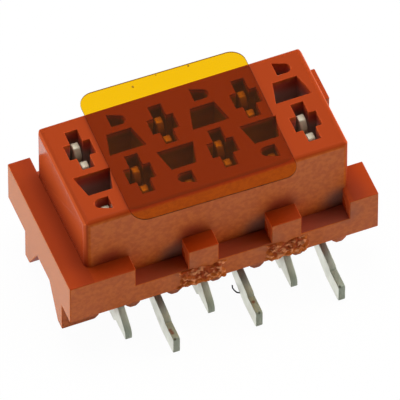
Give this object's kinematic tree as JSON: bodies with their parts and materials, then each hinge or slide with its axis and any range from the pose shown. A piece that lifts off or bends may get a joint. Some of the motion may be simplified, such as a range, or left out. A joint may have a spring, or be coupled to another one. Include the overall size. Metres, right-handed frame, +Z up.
{
  "type": "pcb socket connector",
  "caption": "Surface-mount board socket with a moulded housing, a zigzag row of fork contacts with solder feet, and a peel-off pick-up film on top.",
  "frame": {"origin": "on the board plane, below the middle of the housing", "axes": "+X along the socket, +Y toward the back row of contacts, +Z up from the board to the mating face"},
  "size_m": [0.0094, 0.0072, 0.005],
  "materials": {
    "housing_plastic": "satin moulded, orange-red",
    "tinned_contact": "matte tin plating over copper alloy",
    "amber_film": "clear amber polyimide film"
  },
  "bodies": {
    "root": {"housing": "housing_plastic", "contact_1": "tinned_contact", "contact_2": "tinned_contact", "contact_3": "tinned_contact", "contact_4": "tinned_contact", "contact_5": "tinned_contact", "contact_6": "tinned_contact", "pickup_film": "amber_film"}
  },
  "joints": []
}
